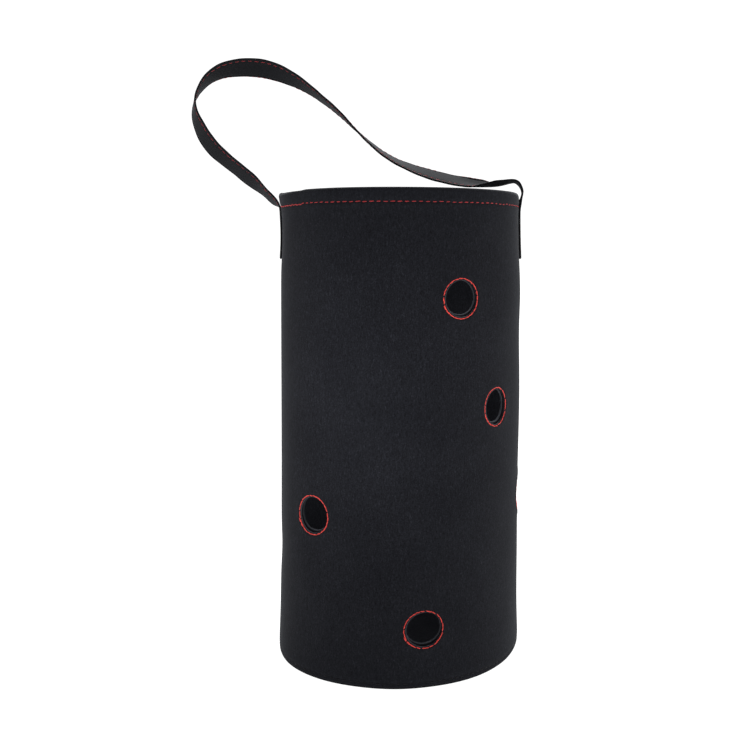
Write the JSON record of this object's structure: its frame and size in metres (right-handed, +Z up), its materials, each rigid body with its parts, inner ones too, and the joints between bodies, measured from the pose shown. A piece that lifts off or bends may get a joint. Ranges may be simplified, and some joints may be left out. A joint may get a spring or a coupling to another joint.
{
  "type": "fabric grow bag",
  "caption": "Tall round felt planting bag, open at the top, with stitched round planting holes in its wall and a carrying strap sewn to the rim.",
  "frame": {"origin": "centre of the base's underside, where the bag stands", "axes": "+Z up towards the rim, -Y the front, and the strap's sewn ends on -X and +X"},
  "size_m": [0.2507, 0.1882, 0.4464],
  "materials": {
    "felt": "matt black non-woven felt",
    "strap_cloth": "matt black cloth with a finer, tighter surface",
    "red_thread": "red polyester sewing thread",
    "black_thread": "black polyester sewing thread"
  },
  "bodies": {
    "root": {"wall_panel": "felt", "rim_hem": "felt", "base_panel": "felt", "base_seam_allowance": "felt", "hole_facing_1": "felt", "hole_facing_2": "felt", "hole_facing_3": "felt", "hole_facing_4": "felt", "hole_facing_5": "felt", "hole_facing_6": "felt", "hole_facing_7": "felt", "hole_facing_8": "felt", "hem_stitching": "red_thread", "hole_stitching_1": "red_thread", "hole_stitching_2": "red_thread", "hole_stitching_3": "red_thread", "hole_stitching_4": "red_thread", "hole_stitching_5": "red_thread", "hole_stitching_6": "red_thread", "hole_stitching_7": "red_thread", "hole_stitching_8": "red_thread", "base_seam_stitching": "black_thread", "back_seam_stitching": "black_thread", "strap_left_end": "strap_cloth", "strap_right_end": "strap_cloth", "strap_left_end_stitching": "red_thread", "strap_right_end_stitching": "red_thread"},
    "strap": {"strap_loop": "strap_cloth", "strap_loop_stitching": "red_thread"}
  },
  "joints": [
    {"name": "strap_swing", "type": "hinge", "parent": "root", "child": "strap", "pos_m": [-0.0945, 0, 0.3455], "axis": [0.9962, 0, 0.0873], "range_deg": [-70, 70]}
  ]
}
